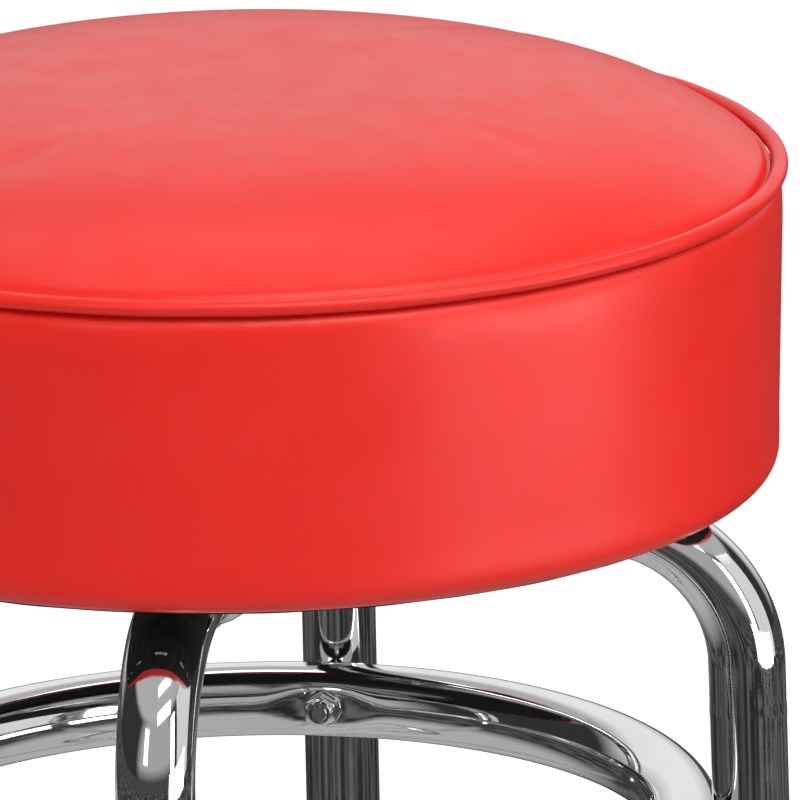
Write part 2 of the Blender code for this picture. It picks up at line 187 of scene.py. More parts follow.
def tint(tree, shader, value, start, dark, end, light):
    """Colours the shader dark up to where the value is start, and light from where it is end."""
    ramp = put(tree, "ShaderNodeValToRGB", {"Fac": value})
    first, last = ramp.color_ramp.elements
    first.position, first.color = start, (*dark, 1)
    last.position, last.color = end, (*light, 1)
    tree.links.new(ramp.outputs["Color"], shader.inputs["Base Color"])


def raised(tree, height, distance, strength=1.0, under=None):
    """A bump from a height, on top of another one if that is given."""
    sockets = {"Height": height, "Distance": distance, "Strength": strength}
    if under is not None:
        sockets["Normal"] = under
    return put(tree, "ShaderNodeBump", sockets).outputs["Normal"]


def chrome_finish():
    """Bright chrome over polished steel: slow waves from the tube mill, and a faint haze."""
    chrome, tree, shader, place = new_finish("chrome", (0.80, 0.80, 0.81), 0.04, 1.0)
    haze = noise_on(tree, place, 45.0, 4.0)
    tree.links.new(spread(tree, haze, 0.03, 0.075, 0.35, 0.7), shader.inputs["Roughness"])
    tint(tree, shader, noise_on(tree, place, 30.0, 3.0),
         0.35, (0.76, 0.76, 0.77), 0.7, (0.83, 0.83, 0.835))
    waves = raised(tree, noise_on(tree, place, 38.0, 1.0), 0.00030, 0.5)
    ripple = raised(tree, noise_on(tree, place, 420.0, 2.0), 0.000012, 0.5, under=waves)
    tree.links.new(ripple, shader.inputs["Normal"])
    return chrome


chrome = chrome_finish()


def smooth(share):
    """Eases a share at both its ends."""
    share = max(0.0, min(1.0, share))
    return share * share * (3 - 2 * share)


def pressed_width(thickness):
    """Half the width of the tube once it is pressed to this thickness, at the same girth."""
    return (thickness + (2 * pi * TUBE_RADIUS - pi * thickness) / 2) / 2


def press_flat(x, low, high):
    """Presses the tube's ring of points at x between two heights round its axis."""
    middle = (x, 0, HOOP_TOP_Z + (low + high) / 2)
    thickness = high - low
    at_ring = lambda co: abs(co.x - x) < 0.0002 and co.z > HOOP_TOP_Z - 0.02
    pick(at_ring)
    bpy.ops.transform.translate(value=(0, 0, (low + high) / 2))
    squeeze = thickness / (2 * TUBE_RADIUS)
    plump = 1 + 0.22 * (1 - squeeze)
    resize((1, pressed_width(thickness) / TUBE_RADIUS, squeeze * plump), middle)
    for side in (1, -1):
        face = HOOP_TOP_Z + (high if side > 0 else low)
        pick(lambda co: at_ring(co) and side * (co.z - face) > 0)
        resize((1, 1, 0), (x, 0, face))


def bend_hoop(name, lap, heading, node):
    """Half a hoop drawn up from its foot, bent, drawn on to the middle, pressed and mirrored."""
    bend_z = HOOP_TOP_Z - BEND_RADIUS
    bend_x = leg_axis(bend_z + BEND_RADIUS * sin(SPLAY)) - BEND_RADIUS * cos(SPLAY)
    foot = Vector((leg_axis(TUBE_END_Z), 0, TUBE_END_Z))
    bend_start = Vector((bend_x + BEND_RADIUS * cos(SPLAY), 0, bend_z + BEND_RADIUS * sin(SPLAY)))
    up_leg = (bend_start - foot).normalized()
    nothing_picked()
    bpy.ops.mesh.primitive_circle_add(vertices=56, radius=TUBE_RADIUS, fill_type="NOTHING",
                                      location=foot, rotation=(0, -SPLAY, 0))
    hoop = open_piece(name)
    bpy.ops.mesh.select_all(action="SELECT")
    ring_at = foot.copy()
    shape = 1.0
    for before_bend, swell in ((0.300, 1.0), (0.0240, 1.0), (0.0195, 1.0), (0.0170, 1.008),
                               (0.0150, 1.008), (0.0128, 0.998), (0.0110, 1.0), (0.0, 1.0)):
        step = bend_start - up_leg * before_bend - ring_at
        draw_out(step)
        ring_at += step
        resize((swell / shape, 1, 1), ring_at)
        shape = swell
    bpy.ops.mesh.spin(steps=28, angle=pi / 2 - SPLAY, center=(bend_x, 0, bend_z), axis=(0, 1, 0))
    top_stations = [ROUND_FROM, 0.1015, 0.0985, 0.0955, 0.0925, PRESSED_TO, 0.060, LAP_FROM,
                    0.0295, 0.0262, 0.0235, LAP_HALF, 0.010, 0.0]
    ring_x = bend_x
    for x in top_stations:
        draw_out((x - ring_x, 0, 0))
        ring_x = x
    for x in top_stations:
        if x >= PRESSED_TO:
            share = smooth((ROUND_FROM - x) / (ROUND_FROM - PRESSED_TO))
            left_by_bend = TUBE_RADIUS * (1 - BEND_FLATTENS * (1 - share))
            press_flat(x, -left_by_bend, left_by_bend * (1 - share))
        else:
            share = smooth((LAP_FROM - x) / (LAP_FROM - LAP_HALF))
            press_flat(x, -TUBE_RADIUS + (lap[0] + TUBE_RADIUS) * share, lap[1] * share)
    bpy.ops.object.mode_set(mode="OBJECT")
    for vert in hoop.data.vertices:
        arm = Vector((vert.co.x - bend_x, vert.co.z - bend_z))
        if arm.x > -0.0001 and arm.y > 0:
            thinner = BEND_FLATTENS * sin(atan2(arm.y, arm.x)) ** 2
            arm *= (BEND_RADIUS + (arm.length - BEND_RADIUS) * (1 - thinner)) / arm.length
            vert.co = (bend_x + arm.x, vert.co.y * (1 + 0.58 * thinner), bend_z + arm.y)
    work(hoop, "MIRROR", merge_threshold=0.00001)
    bpy.ops.object.mode_set(mode="EDIT")
    face_outwards()
    work(hoop, "SOLIDIFY", thickness=TUBE_WALL, offset=-1, use_even_offset=True)
    return fit(hoop, Matrix.Rotation(heading, 4, "Z"), "frame", chrome, "chrome", node)


bend_hoop("hoop_over", (-0.0062, 0.0), 0.0, "frame_hoop_upper")
bend_hoop("hoop_under", (-TUBE_RADIUS, -0.0065), pi / 2, "frame_hoop_lower")

# ---- frame: the two footrings ----
# Each ring is a tube rolled to a circle and welded end to end, chromed all over. Where it meets a
# leg it is crushed to a saddle outside and punched to a flat eye inside, so that a bolt pulls the
# two tight.
RING_LEVELS = {"upper": 0.532, "lower": 0.230}
RING_BEDDED = 0.0011         # how far the leg beds into the ring
EYE_DEPTH = 0.0022
EYE_HALF = 0.004             # along the ring, as far as the eye is flat
EYE_REACH = 0.024            # and to where the punch leaves no mark
EYE_SOFT = 0.0009
CRUSH_REACH = 0.024          # from a leg's axis, to where the ring is left round
CRUSH_SOFT = 0.0016


def toward(heading):
    return Vector((cos(heading), sin(heading), 0))


def ring_radius(z):
    return leg_axis(z) - 2 * TUBE_RADIUS + RING_BEDDED


def eased(value, limit, softness):
    """The larger of the two, with the corner between them rounded over."""
    off = value - limit
    return limit + (off + sqrt(off * off + softness * softness)) / 2


def press_at_legs(ring, z):
    """Crushes the ring round each leg and punches the flat eye that faces the middle."""
    radius = ring_radius(z)
    for vert in ring.data.vertices:
        angle = atan2(vert.co.y, vert.co.x)
        heading = round(angle / (pi / 2)) * (pi / 2)
        along = abs(angle - heading) * radius
        if along > 0.045:
            continue
        fade = max(0.0, min(1.0, (EYE_REACH - along) / (EYE_REACH - EYE_HALF)))
        floor_of_eye = radius - TUBE_RADIUS + EYE_DEPTH * smooth(fade)
        out = eased(hypot(vert.co.x, vert.co.y), floor_of_eye, EYE_SOFT * fade)
        out += radius - eased(radius, floor_of_eye, EYE_SOFT * fade)
        leg = toward(heading) * leg_axis(vert.co.z)
        off = toward(angle) * out - leg
        away = off.length
        if away < CRUSH_REACH:
            pushed = eased(away, TUBE_RADIUS + 0.00008, CRUSH_SOFT) - away
            off *= 1 + pushed * min(1.0, (CRUSH_REACH - away) / 0.008) / away
        vert.co.x, vert.co.y = leg.x + off.x, leg.y + off.y


def roll_ring(name, z, node):
    nothing_picked()
    bpy.ops.mesh.primitive_torus_add(major_segments=320, minor_segments=52,
                                     major_radius=ring_radius(z), minor_radius=TUBE_RADIUS,
                                     location=(0, 0, z))
    ring = open_piece(name)
    face_outwards()
    press_at_legs(ring, z)
    return fit(ring, Matrix(), "frame", chrome, "chrome", node, angle=60)


for level, z in RING_LEVELS.items():
    roll_ring("footring_" + level, z, "ring_" + level)

# ---- frame: ring bolts ----
# Eight chromed M6 screws hold the rings. Each goes in through the leg from outside, where its low
# domed head shows, and comes out of the ring's eye through a washer and a lock nut, with its
# thread standing proud.
SCREW_RADIUS = 0.0030
THREAD_PITCH = 0.0010
THREAD_DEPTH = 0.00035
LEG_GAP = 0.0003
NUT_HALF = 0.0050            # half of what the nut measures across its flats
WASHER = 0.0010
BOLT_END = 0.0066            # how far a ring bolt's end stands out of the ring


def draw_rings(outline):
    """Draws the picked circle on from the outline's first (radius, height) through the rest."""
    radius, height = outline[0]
    for next_radius, next_height in outline[1:]:
        bpy.ops.mesh.extrude_edges_move(
            TRANSFORM_OT_translate={"value": (0, 0, next_height - height)})
        resize((next_radius / radius, next_radius / radius, 1), (0, 0, next_height))
        radius, height = next_radius, next_height


def turn_up(name, sides, outline):
    """A turned piece: a circle drawn up through each (radius, height) of its outline.

    An outline that comes back to its start makes a ring with a bore, and any other is capped."""
    nothing_picked()
    radius, height = outline[0]
    bpy.ops.mesh.primitive_circle_add(vertices=sides, radius=radius, location=(0, 0, height),
                                      fill_type="NOTHING")
    turned = open_piece(name)
    bpy.ops.mesh.select_all(action="SELECT")
    bored = outline[-1] == outline[0]
    if not bored:
        draw_out((0, 0, 0))
        bpy.ops.mesh.edge_face_add()
        bpy.ops.mesh.select_all(action="SELECT")
        bpy.ops.mesh.remove_doubles(threshold=0.000005)
        bpy.ops.mesh.select_all(action="DESELECT")
        bpy.ops.mesh.select_non_manifold()
    draw_rings(outline)
    if not bored:
        bpy.ops.mesh.edge_face_add()
    return turned


def thread(radius, start, end):
    """Points of a thread's outline from start to end."""
    turns = int(abs(end - start) / THREAD_PITCH)
    step = (end - start) / turns / 2
    return [(radius - THREAD_DEPTH * (k % 2), start + step * k) for k in range(2 * turns + 1)]


def standing(point, direction):
    """Puts height zero at the point and the piece's own up along the direction."""
    turn = Vector(direction).to_track_quat("Z", "Y").to_matrix().to_4x4()
    return Matrix.Translation(point) @ turn


def copy_of(piece, name):
    twin = piece.copy()
    twin.data = piece.data.copy()
    twin.name = twin.data.name = name
    bpy.context.scene.collection.objects.link(twin)
    return twin


def socket_screw(name, head_radius, head_height, length):
    """A domed screw with a round socket sunk in its head: its head below height zero, its shank
    above.
    """
    rim = head_height * 0.30
    dome = [(head_radius * cos(a), -rim - (head_height - rim) * sin(a))
            for a in [radians(d) for d in (58, 48, 38, 28, 18, 9, 0)]]
    shank = [(SCREW_RADIUS, -0.0001), *thread(SCREW_RADIUS, length - 0.0060, length - 0.0006),
             (SCREW_RADIUS - 0.0006, length)]
    screw = turn_up(name, 36, [*dome, (head_radius, -0.0001), *shank])
    pick(lambda co: co.z < dome[0][1] + 0.00005)
    bpy.ops.mesh.inset(thickness=0.0008)
    draw_out((0, 0, head_height * 0.5))
    face_outwards()
    work(screw, "BEVEL", width=0.00012, segments=2, limit_method="ANGLE", angle_limit=radians(50))
    return screw


def lock_nut(name):
    """A hexagon lock nut on height zero: turned with its chamfers and collar, then cut."""
    nut = turn_up(name, 48, [(0.0032, 0.0), (0.0051, 0.0), (0.0059, 0.0005), (0.0059, 0.0040),
                             (0.0051, 0.0046), (0.0045, 0.0047), (0.0043, 0.0056),
                             (0.0038, 0.0061), (0.0032, 0.0062), (0.0032, 0.0)])
    for flat in range(6):
        across = toward(flat * pi / 3)
        bpy.ops.mesh.select_all(action="SELECT")
        bpy.ops.mesh.bisect(plane_co=across * NUT_HALF, plane_no=across, use_fill=True,
                            clear_outer=True, threshold=0.000001)
    face_outwards()
    work(nut, "BEVEL", width=0.0001, segments=2, limit_method="ANGLE", angle_limit=radians(50))
    return nut


nut = lock_nut("lock_nut")
ring_washer = turn_up("ring_washer", 48, [
    (0.0032, 0.0), (0.0062, 0.0), (0.0064, 0.0002), (0.0064, WASHER - 0.0002), (0.0062, WASHER),
    (0.0032, WASHER), (0.0032, 0.0)])
face_outwards()
for level, z in RING_LEVELS.items():
    head_face = leg_axis(z) + TUBE_RADIUS + LEG_GAP
    thread_end = ring_radius(z) - TUBE_RADIUS - BOLT_END + 0.0012
    screw = socket_screw("ring_screw", 0.0060, 0.0033, head_face - thread_end)
    eye = ring_radius(z) - TUBE_RADIUS + EYE_DEPTH - 0.0001
    up = Vector((0, 0, z))
    for number, heading in enumerate(LEG_HEADINGS, 1):
        out = toward(heading)
        fit(copy_of(screw, f"ring_bolt_{level}_{number}"), standing(out * head_face + up, -out),
            "frame", chrome, "chrome", f"ring_{level}_bolt_{number}")
        fit(copy_of(ring_washer, f"ring_washer_{level}_{number}"), standing(out * eye + up, -out),
            "frame", chrome, "zinc_steel")
        fit(copy_of(nut, f"ring_nut_{level}_{number}"),
            standing(out * (eye - WASHER) + up, -out),
            "frame", chrome, "zinc_steel", f"ring_{level}_nut_{number}")
    bpy.data.objects.remove(screw)
bpy.data.objects.remove(ring_washer)

# ---- swivel: base plate, top plate and ball race ----
# Two square plates pressed from 2.5 mm steel and zinc-plated face each other: the lower is bolted
# to the hoops, the upper to the seat. Each is dished, with a groove in which the balls run.
PLATE_HALF = 0.0635
PLATE_THICKNESS = 0.0025
PLATE_DISH = 0.0026          # how far the base plate's middle is raised
TOP_DISH = 0.0013            # and the top plate's middle lowered
DISH_RIM = 0.056
BASE_PLATE_Z = HOOP_TOP_Z + 0.0003
TOP_PLATE_Z = 0.6532
RACE_Z = 0.6489
RACE_RADIUS = 0.040
RACE_GROOVE = 0.0006
CAGE_HALF = 0.0006           # half the cage's thickness
BALLS = 8
BALL_RADIUS = 0.003175
SWIVEL_SCREWS = 0.072        # radius of both bolt circles


def zinc_finish():
    """Bright zinc plate: a cold grey with slow cloudy patches and a fine brushed haze."""
    zinc, tree, shader, place = new_finish("zinc_steel", (0.62, 0.62, 0.60), 0.34, 1.0)
    tint(tree, shader, noise_on(tree, place, 90.0, 5.0),
         0.3, (0.44, 0.45, 0.45), 0.7, (0.68, 0.68, 0.65))
    grain = noise_on(tree, place, 600.0, 3.0)
    tree.links.new(spread(tree, grain, 0.24, 0.46, 0.3, 0.7), shader.inputs["Roughness"])
    tree.links.new(raised(tree, grain, 0.00002, 0.6), shader.inputs["Normal"])
    return zinc


zinc = zinc_finish()


def press_plate(name, z, dish, groove, turn, body, node):
    """A plate with rounded corners, its middle dished in steps by drawing a circle inwards."""
    nothing_picked()
    bpy.ops.mesh.primitive_plane_add(size=2 * PLATE_HALF, location=(0, 0, z),
                                     rotation=(0, 0, turn))
    plate = open_piece(name)
    bpy.ops.mesh.select_all(action="SELECT")
    bpy.ops.mesh.bevel(offset=0.011, segments=15, affect="VERTICES")
    bpy.ops.mesh.select_all(action="SELECT")
    bpy.ops.mesh.delete(type="ONLY_FACE")
    bpy.ops.mesh.primitive_circle_add(vertices=64, radius=DISH_RIM, location=(0, 0, z),
                                      rotation=(0, 0, turn + pi / 64))
    bpy.ops.mesh.select_all(action="SELECT")
    bpy.ops.mesh.bridge_edge_loops()
    pick(lambda co: hypot(co.x, co.y) < DISH_RIM + 0.0001)
    draw_rings([(DISH_RIM, 0.0), (0.0548, dish * 0.12), (0.0532, dish * 0.85), (0.052, dish),
                (0.0435, dish), (0.0418, dish + groove * 0.6), (RACE_RADIUS, dish + groove),
                (0.0382, dish + groove * 0.6), (0.0365, dish), (0.012, dish), (0.0083, dish)])
    bpy.ops.mesh.select_all(action="SELECT")
    bpy.ops.mesh.normals_make_consistent(inside=False)
    bpy.ops.object.mode_set(mode="OBJECT")
    if plate.data.polygons[0].normal.z < 0:
        plate.data.flip_normals()
    work(plate, "SOLIDIFY", thickness=PLATE_THICKNESS, offset=1)
    work(plate, "BEVEL", width=0.0004, segments=3, limit_method="ANGLE", angle_limit=radians(60))
    return fit(plate, Matrix(), body, zinc, "zinc_steel", node)


press_plate("swivel_plate_base", BASE_PLATE_Z, PLATE_DISH, -RACE_GROOVE, pi / 4, "frame",
            "swivel_base_plate")
press_plate("swivel_plate_top", TOP_PLATE_Z, -TOP_DISH, RACE_GROOVE, 0.0, "seat",
            "swivel_top_plate")

race = turn_up("swivel_race", 72, [(0.033, RACE_Z - CAGE_HALF), (0.047, RACE_Z - CAGE_HALF),
                                   (0.047, RACE_Z + CAGE_HALF), (0.033, RACE_Z + CAGE_HALF),
                                   (0.033, RACE_Z - CAGE_HALF)])
face_outwards()
race_pieces = [race]
for ball in range(BALLS):
    nothing_picked()
    bpy.ops.mesh.primitive_ico_sphere_add(
        subdivisions=3, radius=BALL_RADIUS,
        location=toward(2 * pi * (ball + 0.5) / BALLS) * RACE_RADIUS + Vector((0, 0, RACE_Z)))
    race_pieces.append(bpy.context.object)
pick_pieces(*race_pieces)
bpy.ops.object.join()
fit(race, Matrix(), "ball_race", zinc, "zinc_steel", "swivel_ball_race")

# ---- swivel: hub, washer and bolts ----
# The hub is a flanged steel sleeve, turned over at its foot with a washer under the base plate, so
# that the plates can't part. Four screws hold the base plate to the hoops, with lock nuts below.
hub_top = TOP_PLATE_Z + PLATE_THICKNESS - TOP_DISH + LEG_GAP
washer_z = BASE_PLATE_Z + PLATE_DISH - LEG_GAP - WASHER
hub = turn_up("swivel_hub_sleeve", 48, [
    (0.0050, BASE_PLATE_Z), (0.0102, BASE_PLATE_Z), (0.0105, BASE_PLATE_Z + 0.0003),
    (0.0105, washer_z - 0.0004), (0.0080, washer_z - 0.0003), (0.0080, hub_top),
    (0.0130, hub_top), (0.0130, hub_top + 0.0006), (0.0126, hub_top + 0.0009),
    (0.0054, hub_top + 0.0009), (0.0050, hub_top + 0.0005), (0.0050, BASE_PLATE_Z)])
face_outwards()
fit(hub, Matrix(), "frame", zinc, "zinc_steel", "swivel_hub")
washer = turn_up("swivel_washer", 48, [
    (0.0083, washer_z), (0.0128, washer_z), (0.0130, washer_z + 0.0002),
    (0.0130, washer_z + WASHER - 0.0002), (0.0128, washer_z + WASHER),
    (0.0083, washer_z + WASHER), (0.0083, washer_z)])
face_outwards()
fit(washer, Matrix(), "frame", zinc, "zinc_steel", "swivel_hub_washer")

bolt_top = BASE_PLATE_Z + PLATE_THICKNESS + LEG_GAP
bolt_under = HOOP_TOP_Z - TUBE_RADIUS - LEG_GAP
screw = socket_screw("hoop_screw", 0.0065, 0.0031, bolt_top - bolt_under + 0.0072)
for number, heading in enumerate(LEG_HEADINGS, 1):
    spot = toward(heading) * SWIVEL_SCREWS
    fit(copy_of(screw, f"hoop_screw_{number}"),
        standing(spot + Vector((0, 0, bolt_top)), (0, 0, -1)),
        "frame", zinc, "zinc_steel", f"hoop_bolt_{number}")
    fit(copy_of(nut, f"hoop_lock_nut_{number}"),
        standing(spot + Vector((0, 0, bolt_under)), (0, 0, -1)),
        "frame", zinc, "zinc_steel", f"hoop_nut_{number}")
bpy.data.objects.remove(screw)
bpy.data.objects.remove(nut)

# ---- seat: board, tee nuts and screws ----
# The board is 15 mm plywood, coloured near-black as painted shade for its shadowed underside, with
# its lower edge rounded over for the cover. Tee nuts are let into its top, and four screws come up
# through the swivel's top plate into them.


def shade_black_plywood():
    """Rotary-cut veneer coloured near-black as painted shade for the seat's shadowed underside:
    long soft grain, a little lighter in places.
    """
    shade_black_board, tree, shader, place = new_finish("plywood", (0.05, 0.038, 0.03), 0.72)
    laid = put(tree, "ShaderNodeMapping", {"Vector": place, "Scale": (1.0, 9.0, 9.0)})
    grain = noise_on(tree, laid.outputs["Vector"], 28.0, 8.0)
    tint(tree, shader, grain, 0.35, (0.018, 0.014, 0.012), 0.68, (0.070, 0.052, 0.040))
    tree.links.new(spread(tree, grain, 0.62, 0.85), shader.inputs["Roughness"])
    tree.links.new(raised(tree, grain, 0.0003, 0.5), shader.inputs["Normal"])
    return shade_black_board


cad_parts["seat_board"].data.materials[0] = shade_black_plywood()
for number in range(1, 5):
    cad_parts[f"seat_t_nut_{number}"].data.materials[0] = zinc
screw = socket_screw("seat_screw", 0.0060, 0.0032, 0.0165)
for number, heading in enumerate(LEG_HEADINGS, 1):
    spot = toward(heading + pi / 4) * SWIVEL_SCREWS
    fit(copy_of(screw, f"seat_board_screw_{number}"),
        Matrix.Translation(spot + Vector((0, 0, TOP_PLATE_Z - LEG_GAP))),
        "seat", zinc, "zinc_steel", f"seat_screw_{number}")
bpy.data.objects.remove(screw)

# ---- seat: the padded form ----
# The seat is a firm foam pad in a tight red vinyl cover, sewn from a round top panel and a side
# band with a welt between them. Pad and cover are taken from one form, which is blown up as cloth
# from a slightly slack start while its seam and its hem are held.
WELT_Z = 0.757
SEAT_BOTTOM_Z = 0.6545
SEAT_TOP_Z = 0.787
SEAT_RADIUS = 0.1755
BOTTOM_ROUND = 0.008
HEM_RADIUS = 0.148           # the cover's cut edge under the board
GRID_RADIUS = 0.052          # the panel's middle is a grid, and rings round it from here out
PANEL_RIM = 0.1726
SEAM_RADIUS = 0.1733
CROWN_START = 0.0290         # rises to its full height as the form is blown up
CROWN_HEIGHT = SEAT_TOP_Z - WELT_Z
AROUND = 128
SKIN = 0.0012
SWELL_LIMIT = 0.0010


def crown(radius):
    return CROWN_START * (1 - (radius / PANEL_RIM) ** 4.6)


def band_rings():
    """(radius, height) of the form's rings from the seam down the side and under to the hem."""
    side = [(SEAM_RADIUS, -0.0012), (0.1737, -0.0030), (0.1745, -0.0044), (0.1755, -0.0054),
            (0.1763, -0.0066), (0.1768, -0.0084), (0.1771, -0.0115), (0.1772, -0.0165),
            (0.1771, -0.0220), (0.1769, -0.0290), (0.1767, -0.0360), (0.1765, -0.0440),
            (0.1763, -0.0520), (0.1761, -0.0600), (0.1759, -0.0680), (0.1757, -0.0760),
            (0.1755, -0.0830), (0.1755, -0.0890)]
    rings = [(r, WELT_Z + z) for r, z in side]
    for degrees in (90, 75, 60, 45, 30, 15, 0):
        a = radians(degrees)
        rings.append((SEAT_RADIUS - BOTTOM_ROUND * (1 - sin(a)),
                      SEAT_BOTTOM_Z + BOTTOM_ROUND * (1 - cos(a))))
    return rings + [(r, SEAT_BOTTOM_Z) for r in (0.163, 0.159, 0.155, 0.1515, HEM_RADIUS)]


def blow_up(form, held):
    """Cloth under pressure from inside, with the held points pinned and the swell capped."""
    pins = form.vertex_groups.new(name="held")
    pins.add([v.index for v in form.data.vertices if held(v.co)], 1.0, "REPLACE")
    start = [v.co.copy() for v in form.data.vertices]
    cloth = form.modifiers.new("cloth", "CLOTH")
    cloth.settings.quality = 6
    cloth.settings.mass = 0.2
    cloth.settings.tension_stiffness = cloth.settings.compression_stiffness = 25
    cloth.settings.bending_stiffness = 2
    cloth.settings.use_pressure = True
    cloth.settings.uniform_pressure_force = 4
    cloth.settings.effector_weights.gravity = 0
    cloth.settings.vertex_group_mass = "held"
    cloth.collision_settings.use_collision = False
    for tick in range(1, 21):
        bpy.context.scene.frame_set(tick)
    bpy.context.view_layer.objects.active = form
    bpy.ops.object.modifier_apply(modifier="cloth")
    bpy.context.scene.frame_set(1)
    for vert, was in zip(form.data.vertices, start):
        moved = vert.co - was
        if moved.length > SWELL_LIMIT:
            vert.co = was + moved * (SWELL_LIMIT / moved.length)


def sew_form():
    nothing_picked()
    bpy.ops.mesh.primitive_circle_add(vertices=AROUND, radius=GRID_RADIUS, fill_type="NOTHING",
                                      location=(0, 0, WELT_Z))
    form = open_piece("seat_form")
    bpy.ops.mesh.select_all(action="SELECT")
    bpy.ops.mesh.fill_grid(span=AROUND // 4)
    pick(lambda co: hypot(co.x, co.y) > GRID_RADIUS - 0.0001)
    panel_rings = [(r, WELT_Z) for r in (
        GRID_RADIUS, 0.060, 0.068, 0.076, 0.084, 0.092, 0.100, 0.108, 0.116, 0.124, 0.132, 0.139,
        0.146, 0.152, 0.157, 0.161, 0.1645, 0.1672, 0.1692, 0.1706, 0.1716, PANEL_RIM)]
    draw_rings(panel_rings + band_rings())
    face_outwards()
    for vert in form.data.vertices:
        if vert.co.z > WELT_Z - 0.0001:
            vert.co.z = WELT_Z + max(0.0, crown(min(PANEL_RIM, hypot(vert.co.x, vert.co.y))))
    blow_up(form, lambda co: co.z < SEAT_BOTTOM_Z + BOTTOM_ROUND + 0.001
            or abs(hypot(co.x, co.y) - SEAM_RADIUS) < 0.0009 and abs(co.z - WELT_Z) < 0.0016)
    top = max(v.co.z for v in form.data.vertices)
    stretch = CROWN_HEIGHT / (top - WELT_Z)
    for vert in form.data.vertices:
        if vert.co.z > WELT_Z and hypot(vert.co.x, vert.co.y) < SEAM_RADIUS - 0.0004:
            vert.co.z = WELT_Z + (vert.co.z - WELT_Z) * stretch
    work(form, "SUBSURF", levels=1, render_levels=1)
    return form


seat_form = sew_form()


def cut_from_form(name, keep):
    """A copy of the form with only the faces whose middle is to be kept."""
    cut = copy_of(seat_form, name)
    pick_pieces(cut)
    edit = bmesh.new()
    edit.from_mesh(cut.data)
    gone = [f for f in edit.faces if not keep(f.calc_center_median())]
    bmesh.ops.delete(edit, geom=gone, context="FACES")
    edit.to_mesh(cut.data)
    edit.free()
    return cut


def inward(piece, depth):
    """Moves the piece's points in along their normals."""
    normals = [v.normal.copy() for v in piece.data.vertices]
    for vert, normal in zip(piece.data.vertices, normals):
        vert.co -= normal * depth


# ---- seat: foam pad ----
# One block of firm polyurethane foam, cut round and domed on top, glued to the board. The cover
# hides it; it fills the cover and stands on the board.


def foam_finish():
    """Open-cell foam: cream, with fine pores painted darker towards their middles as shade in
    them.
    """
    foam, tree, shader, place = new_finish("foam", (0.80, 0.72, 0.52), 0.95)
    pores = put(tree, "ShaderNodeTexVoronoi", {"Vector": place, "Scale": 700.0})
    depth = pores.outputs["Distance"]
    # Painted shade: each pore is darker towards its middle.
    tint(tree, shader, depth, 0.0, (0.50, 0.42, 0.27), 1.0, (0.84, 0.77, 0.58))
    tree.links.new(raised(tree, depth, 0.0005), shader.inputs["Normal"])
    return foam


BOARD_TOP_Z = 0.6710
pad = cut_from_form("foam_pad", lambda middle: True)
inward(pad, SKIN + 0.0006)
bpy.ops.object.mode_set(mode="EDIT")
bpy.ops.mesh.select_all(action="SELECT")
bpy.ops.mesh.bisect(plane_co=(0, 0, BOARD_TOP_Z + 0.0003), plane_no=(0, 0, 1), use_fill=True,
                    clear_inner=True)
face_outwards()
fit(pad, Matrix(), "seat", foam_finish(), "foam", "seat_foam")

# ---- seat: vinyl cover ----
# Expanded vinyl on a knit back, 1.2 mm thick, with a smooth, barely grained satin face. The top
# panel dives beside the welt, and the band is gathered a little where it is sewn to it.
PUCKER = 0.0009
PANEL_DIVE = 0.0024          # how far the panel's edge dives beside the welt
PLEATS_FROM = 0.162          # the hem is pleated from here inwards
PLEAT = 0.0016


def vinyl_finish():
    """Red upholstery vinyl: even colour, faint fine grain, slow unevenness of the pad below."""
    vinyl, tree, shader, place = new_finish("red_vinyl", (0.82, 0.012, 0.004), 0.36)
    shader.inputs["Specular IOR Level"].default_value = 0.55
    shader.inputs["Coat Weight"].default_value = 0.06
    shader.inputs["Coat Roughness"].default_value = 0.22
    tint(tree, shader, noise_on(tree, place, 14.0, 3.0),
         0.35, (0.80, 0.010, 0.003), 0.68, (0.84, 0.015, 0.006))
    tree.links.new(spread(tree, noise_on(tree, place, 60.0, 4.0), 0.33, 0.41, 0.3, 0.7),
                   shader.inputs["Roughness"])
    grain = put(tree, "ShaderNodeTexVoronoi", {"Vector": place, "Scale": 1100.0},
                feature="SMOOTH_F1")
    slow = raised(tree, noise_on(tree, place, 22.0, 2.0), 0.0009, 0.16)
    fine = raised(tree, grain.outputs["Distance"], 0.00006, 0.35, under=slow)
    tree.links.new(fine, shader.inputs["Normal"])
    return vinyl


vinyl = vinyl_finish()


def shell(piece, node):
    work(piece, "SOLIDIFY", thickness=SKIN, offset=-1, use_even_offset=True)
    fit(piece, Matrix(), "seat", vinyl, "red_vinyl", node, angle=55)


def gather(vert):
    """Small puckers of the band just under the seam, uneven round the seat."""
    below = WELT_Z - vert.co.z
    if not 0.0025 < below < 0.030:
        return
    ring = toward(atan2(vert.co.y, vert.co.x))
    depth = noise.noise(ring * 9.0 + Vector((3.1, 0, 0))) * 0.6 + noise.noise(ring * 23.0)
    patch = 0.35 + max(0.0, noise.noise(ring * 2.0 + Vector((0, 5.0, 0))) + 0.3)
    fade = exp(-((below - 0.006) / 0.006) ** 2)
    vert.co += ring * (PUCKER * depth * patch * fade)


panel = cut_from_form("seat_cover_top", lambda middle: middle.z > WELT_Z
                      and hypot(middle.x, middle.y) < PANEL_RIM)
for vert in panel.data.vertices:
    from_rim = PANEL_RIM - hypot(vert.co.x, vert.co.y)
    vert.co.z -= PANEL_DIVE * exp(-(from_rim / 0.0016) ** 2)
shell(panel, "seat_top_panel")

band = cut_from_form("seat_cover_band", lambda middle: middle.z < WELT_Z - 0.0012)
for vert in band.data.vertices:
    gather(vert)
    if vert.co.z < SEAT_BOTTOM_Z + 0.0005:
        ring = toward(atan2(vert.co.y, vert.co.x))
        share = max(0.0, min(1.0, (PLEATS_FROM - hypot(vert.co.x, vert.co.y)) / 0.012))
        pleat = abs(noise.noise(ring * 17.0)) + 0.5 * abs(noise.noise(ring * 41.0))
        vert.co.z -= PLEAT * share * pleat
        vert.co += ring * (0.0022 * noise.noise(ring * 6.0 + Vector((0, 0, 2.0))) * share)
shell(band, "seat_side_band")

